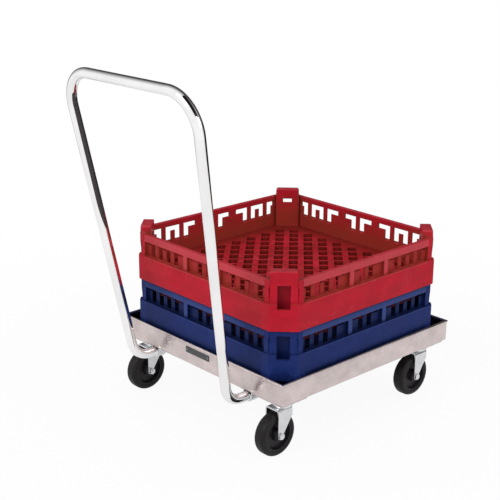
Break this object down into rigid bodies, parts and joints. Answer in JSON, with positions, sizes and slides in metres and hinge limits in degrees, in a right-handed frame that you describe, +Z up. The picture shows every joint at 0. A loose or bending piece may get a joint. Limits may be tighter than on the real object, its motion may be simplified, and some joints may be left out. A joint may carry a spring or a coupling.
{
  "type": "glass rack dolly",
  "caption": "Square aluminium angle dolly on swivel casters with a leaning bent-tube push handle, carrying stacked open plastic glass racks with windowed walls.",
  "frame": {"origin": "middle of the bounding box on the floor", "axes": "+Z up, the push handle on the -Y side, +X to the right of someone who looks at the frame from the handle"},
  "size_m": [0.5368, 0.717, 0.7911],
  "materials": {
    "aluminium": "satin extruded aluminium",
    "chrome": "bright chrome plated tube",
    "plated_steel": "bright zinc plate",
    "bearing_steel": "ground steel",
    "wheel_core": "moulded black",
    "tyre": "matt black rubber",
    "black_plastic": "moulded black",
    "blue_plastic": "satin moulded polypropylene",
    "red_plastic": "satin moulded polypropylene"
  },
  "bodies": {
    "dolly": {"rail_handle_side": "aluminium", "rail_right": "aluminium", "rail_far_side": "aluminium", "rail_left": "aluminium", "gusset_1": "aluminium", "gusset_2": "aluminium", "gusset_3": "aluminium", "gusset_4": "aluminium", "caster_plate_1": "plated_steel", "caster_plate_2": "plated_steel", "caster_plate_3": "plated_steel", "caster_plate_4": "plated_steel", "kingpin_1": "plated_steel", "kingpin_2": "plated_steel", "kingpin_3": "plated_steel", "kingpin_4": "plated_steel", "caster_bolts": "plated_steel", "caster_nuts": "plated_steel", "handle_tube": "chrome", "handle_plugs": "black_plastic", "handle_straps": "plated_steel", "strap_bolts": "plated_steel", "strap_nuts": "plated_steel"},
    "swivel_1": {"fork_1": "plated_steel", "swivel_balls_1": "bearing_steel", "axle_1": "plated_steel", "axle_nut_1": "plated_steel", "spanner_bush_1": "bearing_steel"},
    "wheel_1": {"wheel_core_1": "wheel_core", "tyre_1": "tyre"},
    "swivel_2": {"fork_2": "plated_steel", "swivel_balls_2": "bearing_steel", "axle_2": "plated_steel", "axle_nut_2": "plated_steel", "spanner_bush_2": "bearing_steel"},
    "wheel_2": {"wheel_core_2": "wheel_core", "tyre_2": "tyre"},
    "swivel_3": {"fork_3": "plated_steel", "swivel_balls_3": "bearing_steel", "axle_3": "plated_steel", "axle_nut_3": "plated_steel", "spanner_bush_3": "bearing_steel"},
    "wheel_3": {"wheel_core_3": "wheel_core", "tyre_3": "tyre"},
    "swivel_4": {"fork_4": "plated_steel", "swivel_balls_4": "bearing_steel", "axle_4": "plated_steel", "axle_nut_4": "plated_steel", "spanner_bush_4": "bearing_steel"},
    "wheel_4": {"wheel_core_4": "wheel_core", "tyre_4": "tyre"},
    "lower_rack": {"lower_rack": "blue_plastic"},
    "upper_rack": {"upper_rack": "red_plastic"}
  },
  "joints": [
    {"name": "swivel_1", "type": "hinge", "parent": "dolly", "child": "swivel_1", "pos_m": [-0.2205, -0.13042, 0.11], "axis": [0, 0, 1], "continuous": true},
    {"name": "swivel_2", "type": "hinge", "parent": "dolly", "child": "swivel_2", "pos_m": [0.2205, -0.13042, 0.11], "axis": [0, 0, 1], "continuous": true},
    {"name": "swivel_3", "type": "hinge", "parent": "dolly", "child": "swivel_3", "pos_m": [0.2205, 0.31058, 0.11], "axis": [0, 0, 1], "continuous": true},
    {"name": "swivel_4", "type": "hinge", "parent": "dolly", "child": "swivel_4", "pos_m": [-0.2205, 0.31058, 0.11], "axis": [0, 0, 1], "continuous": true},
    {"name": "wheel_1", "type": "hinge", "parent": "swivel_1", "child": "wheel_1", "pos_m": [-0.2205, -0.15242, 0.0485], "axis": [1, 0, 0], "continuous": true},
    {"name": "wheel_2", "type": "hinge", "parent": "swivel_2", "child": "wheel_2", "pos_m": [0.2205, -0.15242, 0.0485], "axis": [1, 0, 0], "continuous": true},
    {"name": "wheel_3", "type": "hinge", "parent": "swivel_3", "child": "wheel_3", "pos_m": [0.2205, 0.28858, 0.0485], "axis": [1, 0, 0], "continuous": true},
    {"name": "wheel_4", "type": "hinge", "parent": "swivel_4", "child": "wheel_4", "pos_m": [-0.2205, 0.28858, 0.0485], "axis": [1, 0, 0], "continuous": true},
    {"name": "lower_rack_lift", "type": "slide", "parent": "dolly", "child": "lower_rack", "axis": [0, 0, 1], "range_m": [0, 0.4]},
    {"name": "upper_rack_lift", "type": "slide", "parent": "lower_rack", "child": "upper_rack", "axis": [0, 0, 1], "range_m": [0, 0.3]}
  ]
}
